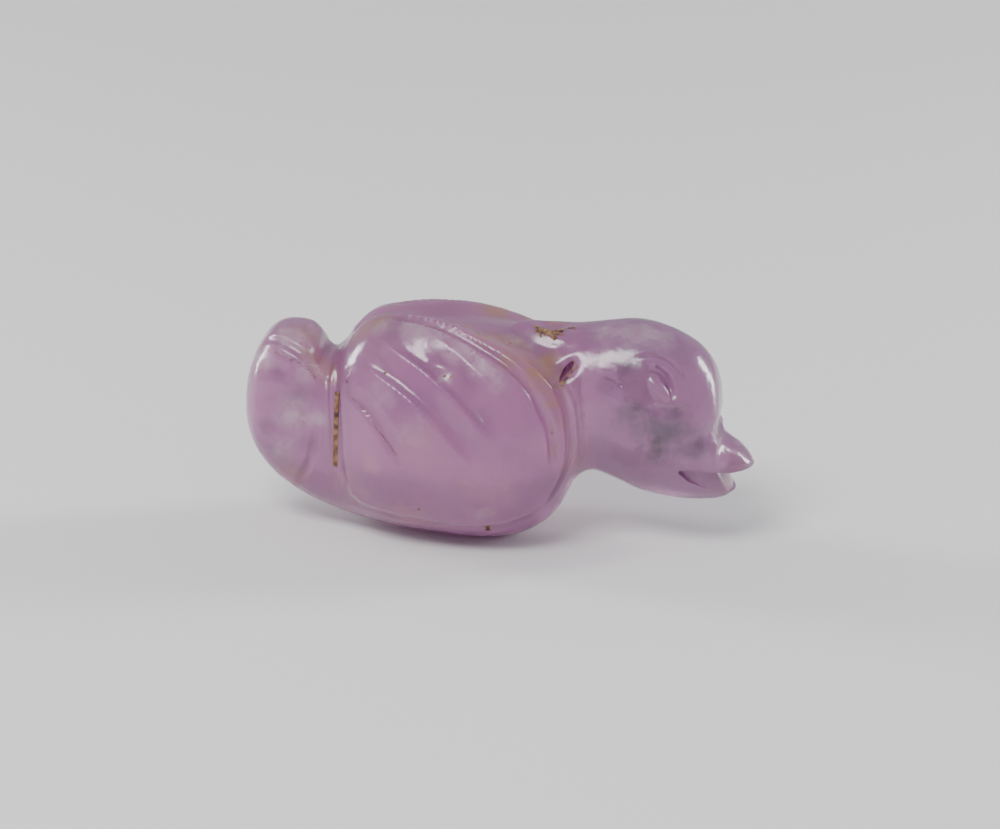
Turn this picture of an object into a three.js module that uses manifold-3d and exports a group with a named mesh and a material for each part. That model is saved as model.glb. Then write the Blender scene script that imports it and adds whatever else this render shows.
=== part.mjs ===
// Duck amulet, carved from one pebble of pale amethyst.
// Millimetres, +Z up, beak towards +X. The origin is the middle of the small flat spot
// on the belly on which the amulet rests.

import * as THREE from 'three';
import { mergeVertices } from 'three/addons/utils/BufferGeometryUtils.js';
import Module from 'manifold-3d';

const wasm = await Module();
wasm.setup();

// Side outline: the line of the back and the line of the belly, both from tail to beak, as [x, z].
const TAIL_END = [-12.05, 6.2];
const BEAK_END = [13.36, 4.3];
const BACK = [
  [-11.87, 7.7], [-11.4, 9.05], [-10.8, 9.85], [-10.2, 10.15], [-9.5, 10.2], [-8.9, 10.05],
  [-8.45, 9.65], [-8.1, 9.1], [-7.75, 8.9], [-7.2, 9.3], [-6.6, 9.95], [-6.0, 10.6],
  [-5.4, 10.95], [-4.2, 11.15], [-2.4, 11.3], [0, 11.2], [1.8, 11.0], [3.0, 10.9],
  [4.2, 10.95], [5.4, 11.1], [7.2, 11.35], [8.4, 11.2], [9.6, 10.75], [10.5, 10.2],
  [11.2, 9.35], [11.5, 8.5], [11.6, 7.6], [11.62, 6.8], [11.64, 6.15], [11.78, 5.75],
  [12.12, 5.5], [12.6, 5.2], [13.06, 4.75],
];
const BELLY = [
  [-11.87, 4.8], [-11.3, 3.5], [-10.4, 2.45], [-9.0, 1.5], [-7.2, 0.7], [-5, 0.2],
  [-2.7, 0.02], [-0.4, -0.1], [1.8, 0.1], [3.1, 0.8], [3.8, 1.6], [4.2, 2.4],
  [4.65, 3.2], [5.4, 3.6], [6.4, 3.3], [7.8, 2.7], [9.5, 2.42], [11.2, 2.42],
  [11.9, 2.52], [12.4, 2.85], [12.95, 3.5], [13.2, 3.9],
];

// Plan outline: half the width, as [x, y].
const HALF_WIDTH = [
  [-11.87, 1.2], [-11.45, 1.95], [-10.9, 2.35], [-10.2, 2.6], [-9.2, 2.75], [-8.2, 2.75],
  [-7.5, 2.8], [-6.8, 3.2], [-5.8, 3.85], [-4, 4.65], [-1.5, 5.0], [1, 4.8],
  [2.6, 4.3], [3.8, 3.55], [4.9, 3.1], [6.4, 2.95], [8, 2.95], [9.6, 2.85],
  [10.8, 2.45], [11.5, 1.95], [12.1, 1.5], [12.75, 1.05], [13.13, 0.6],
];

// How high the widest place of a section lies, as [x, z].
const WIDEST = [
  [-12.05, 6.2], [-11.4, 6.4], [-10.2, 6.35], [-9, 5.97], [-7.75, 4.95], [-7.2, 4.95],
  [-6, 5.28], [-4, 5.08], [0, 4.65], [3, 5.16], [4, 6.03], [4.65, 6.77], [5.4, 7.1],
  [6.4, 7.1], [8, 6.96], [9.6, 6.2], [10.5, 5.4], [11.2, 4.75], [11.6, 4.56],
  [12.2, 4.4], [13.36, 4.3],
];

// How square a section is, 2 for an ellipse and more for fuller corners, [x, above, below].
const SQUARENESS = [
  [-12.05, 2.8, 2.5], [-9, 3.2, 2.5], [-6, 2.5, 2.1], [0, 2.35, 2.1],
  [4.5, 2.1, 2.1], [9, 2.2, 2.2], [11.5, 2.3, 2.3], [13.36, 2.2, 2.2],
];

// The belly touches the table at this x, under the centre of mass, and is ground flat there.
const REST_X = -0.4;

// Marks on the body are [x, angle], the angle in degrees from the ridge of the back.
// The wing stands a little above the body, inside this outline.
const WING_EDGE = [
  [-6.3, 4], [-5.2, 2.5], [-4.2, 4], [-2.2, 10.5], [-0.65, 18.5], [1.2, 29.5],
  [2.4, 38.5], [3.3, 52], [3.85, 70], [4.1, 87], [4.15, 103], [3.7, 118],
  [2.6, 126], [0.5, 128.5], [-3.8, 129], [-5.4, 129], [-6.2, 124], [-6.5, 108],
  [-6.75, 81], [-6.92, 50], [-6.95, 30], [-6.85, 12],
];
const WING_RISE = 0.16;
const WING_STEP = 1.0;

// Between the wings the back is hollow, and the nape rises out of the hollow like a wedge.
const VALLEY = { from: -5.0, to: 4.8, fade: 2.4, depth: 0.42, shoulder: 1.6, side: 40, sideEnd: 75 };
const NAPE_EDGE = [[1.0, -10], [1.95, 2], [4.2, 18], [4.8, 26]];
const NAPE_SLOPE = 24;

// Lines engraved in the body, with their width and depth. Fade is the share of the length
// over which a line rises out of the stone at its two ends.
const BODY_LINES = [
  { width: 0.6, depth: 0.17, fade: 0.1, points: [
    [-5.0, 8.5], [-4.2, 10.5], [-2.2, 18.5], [-0.6, 27.5], [1.1, 38.5], [2.2, 49.5],
    [3.0, 64], [3.5, 80], [3.62, 92], [3.6, 104],
  ] },
  { width: 0.6, depth: 0.16, fade: 0.2, points: [
    [1.6, 29], [2.7, 38], [3.6, 52], [4.2, 70], [4.42, 87], [4.45, 104], [4.0, 120], [3.0, 129],
  ] },
  { width: 0.45, depth: 0.1, fade: 0.1, points: [[3.3, 127], [0.5, 132], [-3.8, 133], [-5.6, 131]] },
  { width: 0.7, depth: 0.15, fade: 0.15, points: [
    [-7.15, 22], [-7.2, 50], [-7.05, 81], [-6.75, 108], [-6.4, 124],
  ] },
  { width: 0.8, depth: 0.2, fade: 0.3, points: [[-4.6, 29], [-1.7, 51], [1.1, 76]] },
  { width: 0.8, depth: 0.2, fade: 0.3, points: [[-6.2, 41], [-2.9, 62], [0.35, 88]] },
  { width: 0.6, depth: 0.16, fade: 0.3, points: [[-6.5, 63], [-5.0, 77], [-3.4, 94]] },
];

// The tail: a crease under its flat top, two flutes, and the edge of the fan below.
const TAIL_LINES = [
  { width: 0.6, depth: 0.13, fade: 0.2, points: [
    [-11.2, 15], [-10.2, 29], [-9.17, 40], [-8.02, 47], [-7.5, 49],
  ] },
  { width: 0.8, depth: 0.16, fade: 0.4, points: [[-11.3, 59], [-10.3, 63], [-9.2, 67]] },
  { width: 0.8, depth: 0.16, fade: 0.4, points: [[-11.4, 88], [-10.3, 88], [-9.2, 90]] },
  { width: 0.6, depth: 0.13, fade: 0.3, points: [
    [-9.6, 148], [-9.0, 128], [-8.4, 103], [-8.15, 84],
  ] },
];

// Worn and broken places: [x, angle, half length, half height, depth] on one side of the back.
const WING_CHIP = [-1.9, -42, 1.1, 0.75, 0.22];
const NECK_PIT = [3.2, 1, 1.2, 1.0, 0.28];
const BORE_HOLLOW = [4.2, 46, 1.0, 0.9, 0.16];

// Marks on the head, seen from the side, as [x, z].
const EYE_SOCKET = { x: 8.85, z: 8.85, long: 1.35, high: 1.15, depth: 0.2 };
const EYE_BALL = { x: 8.72, z: 8.8, long: 0.8, high: 0.36, thick: 0.26, lean: 47, sunk: 0.14 };
const HEAD_LINES = [
  { width: 0.5, depth: 0.3, fade: 0.25, points: [[7.95, 9.72], [8.65, 9.68], [9.2, 9.2], [9.45, 8.3]] },
  { width: 0.4, depth: 0.08, fade: 0.25, points: [
    [7.3, 10.2], [8.1, 10.36], [9.0, 10.1], [9.6, 9.65], [10.0, 8.9],
  ] },
  { width: 0.5, depth: 0.22, fade: 0.25, points: [[8.1, 7.98], [9.1, 7.75], [10.2, 7.8]] },
];

// The crease round the root of the beak, over the front and down both cheeks.
const BEAK_ROOT = { width: 1.15, depth: 0.24, fade: 0.35, front: [11.62, 6.3] };
const CHEEK_CREASE = [[11.35, 6.45], [10.85, 6.35], [10.35, 6.0], [10.0, 5.45], [9.8, 4.9]];

// The mouth is cut in from both sides, from the lower lip up to a line under the upper beak.
// What stays between the cuts is the lower jaw, rounded and shorter than the upper beak.
const MOUTH_LINE = [[9.8, 4.62], [10.4, 4.69], [12.2, 4.16], [14, 4.2]];
const LIP_LINE = [[9.8, 4.45], [10.3, 3.95], [11.2, 3.5], [12.3, 2.98], [14, 2.4]];
const MOUTH = { from: 9.8, full: 11, depth: 0.42, steps: 20, outside: 1.5, past: 0.05 };
const JAW = { round: 0.5, upperEnd: 11.85, lowerEnd: 12.36, half: 2.1, beyond: 1.8 };

// The saw cut in front of the tail, one on each flank, made by the edge of a thin disc.
const SAW_CUT = { x: -7.16, z: 6.15, floor: 2.35, width: 0.22, radius: 6 };
const SAW_CORNERS = 32;

// The bore for the cord, flattened, through the root of the neck; wide at its mouths.
const BORE = { x: 4.16, z: 9.42, long: 0.62, short: 0.2, waist: 0.45, lean: 56, reach: 3.2 };
const BORE_CORNERS = 14;

const SECTIONS = 62;
const CORNERS = 34;
const END_CROWDING = 0.3;
const BACK_CROWDING = 0.22;
const MARK_STEPS = 60;
const TOOL_CORNERS = 5;
const BODY_STEP = 1.5;
const HEAD_STEP = 0.6;
const BALL_CORNERS = 12;
const BALL_ROWS = 8;
const TOOL_LIFT = 0.05;
const SLOPE_STEP = 0.02;

const { clamp, degToRad, lerp, mapLinear, radToDeg, smoothstep } = THREE.MathUtils;

function curveThrough(points, closed = false) {
  return new THREE.CatmullRomCurve3(points.map(([a, b]) => new THREE.Vector3(a, b, 0)), closed);
}

// The rails run steadily forward, so the place at a given x is found by halving.
function heightAt(rail, x) {
  let low = 0;
  let high = 1;
  for (let step = 0; step < 40; step += 1) {
    const middle = (low + high) / 2;
    if (rail.getPoint(middle).x < x) low = middle;
    else high = middle;
  }
  return rail.getPoint((low + high) / 2).y;
}

function readRow(rows, x, column) {
  const next = rows.findIndex((row) => row[0] >= x);
  if (next < 0) return rows[rows.length - 1][column];
  if (next === 0) return rows[0][column];
  const before = rows[next - 1];
  const after = rows[next];
  return mapLinear(x, before[0], after[0], before[column], after[column]);
}

const backRail = curveThrough([TAIL_END, ...BACK, BEAK_END]);
const bellyRail = curveThrough([TAIL_END, ...BELLY, BEAK_END]);
const sideRail = curveThrough([[TAIL_END[0], 0], ...HALF_WIDTH, [BEAK_END[0], 0]]);

function sectionAt(x) {
  const top = heightAt(backRail, x);
  const bottom = heightAt(bellyRail, x);
  const half = heightAt(sideRail, x);
  return {
    x,
    top,
    bottom,
    half,
    girth: (half + (top - bottom) / 2) / 2,
    widest: readRow(WIDEST, x, 1),
    above: readRow(SQUARENESS, x, 1),
    below: readRow(SQUARENESS, x, 2),
  };
}

function roundedPower(value, squareness) {
  return Math.sign(value) * Math.abs(value) ** (2 / squareness);
}

// The angle runs round the section: 0 on the back, half a turn on the belly.
function pointOnSection(section, angle) {
  const rise = Math.cos(angle);
  const squareness = rise > 0 ? section.above : section.below;
  const reach = rise > 0 ? section.top - section.widest : section.widest - section.bottom;
  const y = section.half * roundedPower(Math.sin(angle), squareness);
  const z = section.widest + reach * roundedPower(rise, squareness);
  return new THREE.Vector3(section.x, y, z);
}

// Half the width of the stone at a given x and height.
function halfWidthAt(x, z) {
  const section = sectionAt(x);
  const above = z > section.widest;
  const squareness = above ? section.above : section.below;
  const reach = above ? section.top - section.widest : section.widest - section.bottom;
  const share = clamp(Math.abs(z - section.widest) / reach, 0, 1);
  return section.half * (1 - share ** squareness) ** (1 / squareness);
}

// Less than one inside the rough form, one on it and more outside.
function outness({ x, y, z }) {
  const section = sectionAt(clamp(x, TAIL_END[0], BEAK_END[0]));
  const above = z > section.widest;
  const squareness = above ? section.above : section.below;
  const reach = above ? section.top - section.widest : section.widest - section.bottom;
  return Math.abs(y / section.half) ** squareness + Math.abs((z - section.widest) / reach) ** squareness;
}

function outwardAt(point) {
  const slope = ['x', 'y', 'z'].map((axis) => {
    const ahead = point.clone();
    const behind = point.clone();
    ahead[axis] += SLOPE_STEP;
    behind[axis] -= SLOPE_STEP;
    return outness(ahead) - outness(behind);
  });
  return new THREE.Vector3(...slope).normalize();
}

const wingOutline = curveThrough(WING_EDGE, true).getPoints(MARK_STEPS);

// How far a place lies inside the wing, in millimetres; less than nothing outside it.
function depthInWing(x, degrees, stretch) {
  let nearest = Infinity;
  let inside = false;
  for (let i = 0; i + 1 < wingOutline.length; i += 1) {
    const [start, end] = [wingOutline[i], wingOutline[i + 1]];
    const [dx, dy] = [end.x - start.x, (end.y - start.y) * stretch];
    const [px, py] = [x - start.x, (degrees - start.y) * stretch];
    const share = clamp((px * dx + py * dy) / (dx * dx + dy * dy), 0, 1);
    nearest = Math.min(nearest, Math.hypot(px - share * dx, py - share * dy));
    const spans = start.y > degrees !== end.y > degrees;
    if (spans && x < mapLinear(degrees, start.y, end.y, start.x, end.x)) inside = !inside;
  }
  return inside ? nearest : -nearest;
}

// One at the middle of a mark, falling softly to nothing at its edge.
function softBump(share) {
  return share < 1 ? (1 + Math.cos(Math.PI * share)) / 2 : 0;
}

function wingRelief(x, degrees, stretch) {
  const inside = depthInWing(x, degrees, stretch);
  const rise = WING_RISE * smoothstep(inside, -WING_STEP / 2, WING_STEP / 2);
  const between = smoothstep(-inside, 0, VALLEY.shoulder)
    * (1 - smoothstep(degrees, VALLEY.side, VALLEY.sideEnd));
  const along = smoothstep(x, VALLEY.from, VALLEY.from + VALLEY.fade)
    * (1 - smoothstep(x, VALLEY.to - VALLEY.fade, VALLEY.to));
  const besideNape = smoothstep(degrees - readRow(NAPE_EDGE, x, 1), 0, NAPE_SLOPE);
  return rise - VALLEY.depth * between * along * besideNape;
}

function hollow([middleX, middleDegrees, long, high, depth], x, degrees, stretch) {
  const off = Math.hypot((x - middleX) / long, ((degrees - middleDegrees) * stretch) / high);
  return -depth * softBump(off);
}

function socketRelief(x, z) {
  const off = Math.hypot((x - EYE_SOCKET.x) / EYE_SOCKET.long, (z - EYE_SOCKET.z) / EYE_SOCKET.high);
  return -EYE_SOCKET.depth * softBump(off);
}

// How far the finished surface stands above the rough form, in millimetres.
function reliefAt(section, angle, point) {
  const signedDegrees = radToDeg(angle > Math.PI ? angle - 2 * Math.PI : angle);
  const degrees = Math.abs(signedDegrees);
  const stretch = degToRad(section.girth);
  const { x } = section;
  return wingRelief(x, degrees, stretch)
    + socketRelief(x, point.z)
    + hollow(WING_CHIP, x, signedDegrees, stretch)
    + hollow(NECK_PIT, x, signedDegrees, stretch)
    + hollow(BORE_HOLLOW, x, degrees, stretch);
}

// Sections stand at even steps along the line of the back, and closer together at its ends.
function stationX(share) {
  const crowded = (1 - Math.cos(Math.PI * share)) / 2;
  return backRail.getPointAt(lerp(share, crowded, END_CROWDING)).x;
}

function bareSolid() {
  const geometry = new THREE.SphereGeometry(1, CORNERS, SECTIONS);
  const position = geometry.getAttribute('position');
  for (let row = 0; row <= SECTIONS; row += 1) {
    const end = { 0: TAIL_END, [SECTIONS]: BEAK_END }[row];
    const section = sectionAt(stationX(row / SECTIONS));
    for (let column = 0; column <= CORNERS; column += 1) {
      const turn = (2 * Math.PI * (column % CORNERS)) / CORNERS;
      const angle = turn - BACK_CROWDING * Math.sin(turn);
      let point = end ? new THREE.Vector3(end[0], 0, end[1]) : pointOnSection(section, angle);
      if (!end) point = point.addScaledVector(outwardAt(point), reliefAt(section, angle, point));
      position.setXYZ(row * (CORNERS + 1) + column, point.x, point.y, point.z);
    }
  }
  return toSolid(geometry);
}

function toSolid(geometry) {
  ['normal', 'uv'].forEach((name) => geometry.deleteAttribute(name));
  const merged = mergeVertices(geometry, 1e-4);
  const vertProperties = new Float32Array(merged.getAttribute('position').array);
  const triVerts = new Uint32Array(merged.index.array);
  return new wasm.Manifold(new wasm.Mesh({ numProp: 3, vertProperties, triVerts }));
}

function toGeometry(solid) {
  const { vertProperties, triVerts } = solid.getMesh();
  const geometry = new THREE.BufferGeometry();
  geometry.setAttribute('position', new THREE.BufferAttribute(new Float32Array(vertProperties), 3));
  geometry.setIndex(new THREE.BufferAttribute(new Uint32Array(triVerts), 1));
  return geometry;
}

// A round tool is drawn along a line on the surface. Its radius follows from the width and
// depth of the groove, and towards both ends it is lifted out of the stone.
function grooveTool(surfacePoints, { width, depth, fade }, stepLength) {
  const radius = (width * width / 4 + depth * depth) / (2 * depth);
  const surface = new THREE.CatmullRomCurve3(surfacePoints);
  const steps = Math.max(6, Math.ceil(surface.getLength() / stepLength));
  const centres = surface.getSpacedPoints(steps).map((point, i) => {
    const fromEnd = Math.min(i, steps - i) / steps;
    const lift = radius + TOOL_LIFT - (depth + TOOL_LIFT) * smoothstep(fromEnd, -fade / 10, fade);
    return point.clone().addScaledVector(outwardAt(point), lift);
  });
  const round = new THREE.Shape().absarc(0, 0, radius, 0, 2 * Math.PI);
  const extrudePath = new THREE.CatmullRomCurve3(centres);
  return new THREE.ExtrudeGeometry(round, {
    steps, extrudePath, curveSegments: TOOL_CORNERS, bevelEnabled: false,
  });
}

function onBody(x, degrees, side) {
  const section = sectionAt(x);
  const angle = side * degToRad(degrees);
  const point = pointOnSection(section, angle);
  const relief = wingRelief(x, degrees, degToRad(section.girth));
  return point.addScaledVector(outwardAt(point), relief);
}

function onHead(x, z, side) {
  const point = new THREE.Vector3(x, side * halfWidthAt(x, z), z);
  return point.addScaledVector(outwardAt(point), socketRelief(x, z));
}

function bodyTools(side) {
  return [...BODY_LINES, ...TAIL_LINES].map((line) => {
    const marks = curveThrough(line.points).getPoints(line.points.length * 4);
    return grooveTool(marks.map((mark) => onBody(mark.x, mark.y, side)), line, BODY_STEP);
  });
}

function headTools(side) {
  return HEAD_LINES.map((line) => {
    const marks = curveThrough(line.points).getPoints(line.points.length * 3);
    return grooveTool(marks.map((mark) => onHead(mark.x, mark.y, side)), line, HEAD_STEP);
  });
}

function beakRootTool() {
  const [right, left] = [-1, 1].map((side) => CHEEK_CREASE.map(([x, z]) => onHead(x, z, side)));
  const front = new THREE.Vector3(BEAK_ROOT.front[0], 0, BEAK_ROOT.front[1]);
  return grooveTool([...right.reverse(), front, ...left], BEAK_ROOT, HEAD_STEP);
}

function eyeBall(side) {
  const ball = new THREE.SphereGeometry(1, BALL_CORNERS, BALL_ROWS);
  ball.scale(EYE_BALL.long, EYE_BALL.thick, EYE_BALL.high);
  ball.rotateY(degToRad(EYE_BALL.lean));
  const y = halfWidthAt(EYE_BALL.x, EYE_BALL.z) - EYE_BALL.sunk;
  return ball.translate(EYE_BALL.x, side * y, EYE_BALL.z);
}

// Half the width of the lower jaw, which rounds off to nothing where its share of length is one.
function jawWidthAt(share) {
  const round = clamp((share - JAW.round) / (1 - JAW.round), 0, 1);
  return round < 1 ? JAW.half * Math.sqrt(1 - round ** 2) : -MOUTH.past;
}

// A long box whose inner wall leans from the lower lip in to the line under the upper beak.
function mouthTool(side) {
  const box = new THREE.BoxGeometry(1, 1, 1, MOUTH.steps, 1, 1);
  const position = box.getAttribute('position');
  for (let corner = 0; corner < position.count; corner += 1) {
    const upper = position.getZ(corner) > 0;
    const inner = position.getY(corner) * side < 0;
    const share = JAW.beyond * (position.getX(corner) + 0.5);
    const x = lerp(MOUTH.from, upper ? JAW.upperEnd : JAW.lowerEnd, share);
    const z = readRow(upper ? MOUTH_LINE : LIP_LINE, x, 1);
    const skin = halfWidthAt(Math.min(x, BEAK_END[0]), z);
    const sunk = upper ? MOUTH.depth * smoothstep(x, MOUTH.from, MOUTH.full) : 0;
    const wall = Math.max(Math.min(skin - sunk, jawWidthAt(share)), -MOUTH.past);
    position.setXYZ(corner, x, side * (inner ? wall : skin + MOUTH.outside), z);
  }
  return box;
}

function restingCut() {
  const [width, height] = [12, 2];
  return new THREE.BoxGeometry(width, width, height).translate(REST_X, 0, -height / 2);
}

function sawTool(side) {
  const disc = new THREE.CylinderGeometry(SAW_CUT.radius, SAW_CUT.radius, SAW_CUT.width, SAW_CORNERS);
  disc.rotateZ(Math.PI / 2);
  return disc.translate(SAW_CUT.x, side * (SAW_CUT.floor + SAW_CUT.radius), SAW_CUT.z);
}

// Drilled from both flanks, so it narrows to a waist in the middle of the neck.
function cordBore() {
  const outline = [[0, -1], [1, -1], [BORE.waist, 0], [1, 1], [0, 1]];
  const profile = outline.map(([radius, height]) => new THREE.Vector2(radius, height));
  const bore = new THREE.LatheGeometry(profile, BORE_CORNERS);
  bore.scale(BORE.long, BORE.reach, BORE.short);
  bore.rotateY(-degToRad(BORE.lean));
  return bore.translate(BORE.x, 0, BORE.z);
}

function duckSolid() {
  const tools = [restingCut(), cordBore(), beakRootTool()];
  [1, -1].forEach((side) => {
    tools.push(...bodyTools(side), ...headTools(side), mouthTool(side), sawTool(side));
  });
  const carved = tools.reduce((stone, tool) => stone.subtract(toSolid(tool)), bareSolid());
  const withEyes = [1, -1].reduce((stone, side) => stone.add(toSolid(eyeBall(side))), carved);
  return toGeometry(withEyes).translate(-REST_X, 0, 0);
}

const amethyst = new THREE.MeshStandardMaterial({ color: 0xb79ac4, roughness: 0.3, metalness: 0 });

const duck = new THREE.Mesh(duckSolid(), amethyst);
duck.name = 'duck';

const amulet = new THREE.Group();
amulet.add(duck);

export default amulet;
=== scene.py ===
# %% [markdown]
# # A duck amulet of pale amethyst
# The real one is a pebble of violet quartz about as long as a finger joint, ground to the
# shape of a resting duck, engraved with a small wheel, bored through the neck and worn smooth.
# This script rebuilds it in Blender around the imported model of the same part: first the
# stone, then what is sealed in it, then the soil in its cuts, the material, and the studio.

import math

import bmesh
import bpy
import numpy as np
from mathutils import Matrix, Vector, noise
from mathutils.bvhtree import BVHTree


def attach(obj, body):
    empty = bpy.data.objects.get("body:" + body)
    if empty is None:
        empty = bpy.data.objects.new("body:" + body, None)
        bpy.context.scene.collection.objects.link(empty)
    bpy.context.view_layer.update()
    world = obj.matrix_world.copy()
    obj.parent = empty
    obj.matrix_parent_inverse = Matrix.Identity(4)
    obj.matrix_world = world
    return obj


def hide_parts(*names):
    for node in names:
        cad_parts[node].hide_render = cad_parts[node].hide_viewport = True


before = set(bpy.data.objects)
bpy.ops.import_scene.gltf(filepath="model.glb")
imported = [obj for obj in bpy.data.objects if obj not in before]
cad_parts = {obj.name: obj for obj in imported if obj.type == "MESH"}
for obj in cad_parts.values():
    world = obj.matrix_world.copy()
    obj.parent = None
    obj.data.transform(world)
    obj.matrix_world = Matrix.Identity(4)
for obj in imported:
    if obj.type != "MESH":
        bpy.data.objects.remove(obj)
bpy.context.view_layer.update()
MM = 0.001

# %% [markdown]
# ## The lines that the carver works to
# An animal is hard to build from edits by hand, because no two places of it are alike. It is
# easy to describe, though: one line along the back, one along the belly and one along the
# widest part of the flank. Every cross-section hangs between these three lines, so the
# numbers below are the whole form. They are in millimetres, with the tail at the left.

# %% Outlines of the stone
TAIL_END = (-12.05, 6.2)
BEAK_END = (13.36, 4.3)
BACK = [
    (-11.87, 7.7), (-11.4, 9.05), (-10.8, 9.85), (-10.2, 10.15), (-9.5, 10.2), (-8.9, 10.05),
    (-8.45, 9.65), (-8.1, 9.1), (-7.75, 8.9), (-7.2, 9.3), (-6.6, 9.95), (-6.0, 10.6),
    (-5.4, 10.95), (-4.2, 11.15), (-2.4, 11.3), (0, 11.2), (1.8, 11.0), (3.0, 10.9),
    (4.2, 10.95), (5.4, 11.1), (7.2, 11.35), (8.4, 11.2), (9.6, 10.75), (10.5, 10.2),
    (11.2, 9.35), (11.5, 8.5), (11.6, 7.6), (11.62, 6.8), (11.64, 6.15), (11.78, 5.75),
    (12.12, 5.5), (12.6, 5.2), (13.06, 4.75),
]
BELLY = [
    (-11.87, 4.8), (-11.3, 3.5), (-10.4, 2.45), (-9.0, 1.5), (-7.2, 0.7), (-5, 0.2),
    (-2.7, 0.02), (-0.4, -0.1), (1.8, 0.1), (3.1, 0.8), (3.8, 1.6), (4.2, 2.4),
    (4.65, 3.2), (5.4, 3.6), (6.4, 3.3), (7.8, 2.7), (9.5, 2.42), (11.2, 2.42),
    (11.9, 2.52), (12.4, 2.85), (12.95, 3.5), (13.2, 3.9),
]
HALF_WIDTH = [
    (-11.87, 1.2), (-11.45, 1.95), (-10.9, 2.35), (-10.2, 2.6), (-9.2, 2.75), (-8.2, 2.75),
    (-7.5, 2.8), (-6.8, 3.2), (-5.8, 3.85), (-4, 4.65), (-1.5, 5.0), (1, 4.8),
    (2.6, 4.3), (3.8, 3.55), (4.9, 3.1), (6.4, 2.95), (8, 2.95), (9.6, 2.85),
    (10.8, 2.45), (11.5, 1.95), (12.1, 1.5), (12.75, 1.05), (13.13, 0.6),
]
# Height of the widest place of a section, and how square the section is above and below it.
WIDEST = [
    (-12.05, 6.2), (-11.4, 6.4), (-10.2, 6.35), (-9, 5.97), (-7.75, 4.95), (-7.2, 4.95),
    (-6, 5.28), (-4, 5.08), (0, 4.65), (3, 5.16), (4, 6.03), (4.65, 6.77), (5.4, 7.1),
    (6.4, 7.1), (8, 6.96), (9.6, 6.2), (10.5, 5.4), (11.2, 4.75), (11.6, 4.56),
    (12.2, 4.4), (13.36, 4.3),
]
SQUARENESS = [
    (-12.05, 2.8, 2.5), (-9, 3.2, 2.5), (-6, 2.5, 2.1), (0, 2.35, 2.1),
    (4.5, 2.1, 2.1), (9, 2.2, 2.2), (11.5, 2.3, 2.3), (13.36, 2.2, 2.2),
]
REST_X = -0.4


# %% Turn the outlines into smooth rails
def smooth_curve(points, closed=False, samples=40):
    """Points along a smooth curve through the given points."""
    p = np.asarray(points, float)
    ends = (p[-1:], p[:2]) if closed else ([2 * p[0] - p[1]], [2 * p[-1] - p[-2]])
    p = np.vstack([ends[0], p, ends[1]])
    share = np.linspace(0, 1, samples, endpoint=False)[:, None]
    stretches = []
    for p0, p1, p2, p3 in zip(p, p[1:], p[2:], p[3:]):
        gaps = [max(np.linalg.norm(b - a) ** 0.5, 1e-4) for a, b in ((p0, p1), (p1, p2), (p2, p3))]
        leave = gaps[1] * ((p1 - p0) / gaps[0] - (p2 - p0) / (gaps[0] + gaps[1]) + (p2 - p1) / gaps[1])
        arrive = gaps[1] * ((p2 - p1) / gaps[1] - (p3 - p1) / (gaps[1] + gaps[2]) + (p3 - p2) / gaps[2])
        bend = -3 * p1 + 3 * p2 - 2 * leave - arrive
        twist = 2 * p1 - 2 * p2 + leave + arrive
        stretches.append(p1 + leave * share + bend * share**2 + twist * share**3)
    return np.vstack([*stretches, p[-2:-1]])


def rail(points):
    line = smooth_curve(points)
    return np.maximum.accumulate(line[:, 0]), line[:, 1]


RAILS = {
    "top": rail([TAIL_END, *BACK, BEAK_END]),
    "bottom": rail([TAIL_END, *BELLY, BEAK_END]),
    "half": rail([(TAIL_END[0], 0), *HALF_WIDTH, (BEAK_END[0], 0)]),
}


def read_row(rows, x, column=1):
    table = np.asarray(rows, float)
    return np.interp(x, table[:, 0], table[:, column])


def sections(x):
    """The cross-sections at these x: their top, bottom, half width, widest height and squareness."""
    x = np.clip(x, TAIL_END[0], BEAK_END[0])
    s = {name: np.interp(x, *line) for name, line in RAILS.items()}
    s["half"] = np.maximum(s["half"], 1e-3)
    tall = np.maximum(s["top"] - s["bottom"], 1e-3)
    s["girth"] = (s["half"] + tall / 2) / 2
    s["widest"] = read_row(WIDEST, x)
    s["rise"] = np.maximum(s["top"] - s["widest"], 1e-3)
    s["fall"] = np.maximum(s["widest"] - s["bottom"], 1e-3)
    s["above"] = read_row(SQUARENESS, x, 1)
    s["below"] = read_row(SQUARENESS, x, 2)
    return s


def point_at(x, degrees):
    """Points of the rough form, the angle counted from the ridge of the back towards +Y."""
    s = sections(x)
    up, out = np.cos(np.radians(degrees)), np.sin(np.radians(degrees))
    square = np.where(up > 0, s["above"], s["below"])
    reach = np.where(up > 0, s["rise"], s["fall"])
    y = s["half"] * np.sign(out) * np.abs(out) ** (2 / square)
    z = s["widest"] + reach * np.sign(up) * np.abs(up) ** (2 / square)
    return np.stack([x, y, z], axis=-1)


def share_in_section(p):
    """Sideways and upward place in its section, -1 to 1 each, with the squareness there."""
    s = sections(p[..., 0])
    over = p[..., 2] > s["widest"]
    up = (p[..., 2] - s["widest"]) / np.where(over, s["rise"], s["fall"])
    return p[..., 1] / s["half"], up, np.where(over, s["above"], s["below"])


def degrees_at(p):
    out, up, square = share_in_section(p)
    out = np.sign(out) * np.abs(out) ** (square / 2)
    up = np.sign(up) * np.abs(up) ** (square / 2)
    return np.degrees(np.arctan2(out, up))


def outness(p):
    out, up, square = share_in_section(p)
    return np.abs(out) ** square + np.abs(up) ** square


def outward_at(p, step=0.02):
    """The direction straight out of the rough form at each point."""
    slope = np.empty_like(p)
    for axis in range(3):
        move = np.zeros(3)
        move[axis] = step
        slope[..., axis] = outness(p + move) - outness(p - move)
    return slope / np.maximum(np.linalg.norm(slope, axis=-1, keepdims=True), 1e-9)


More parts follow.
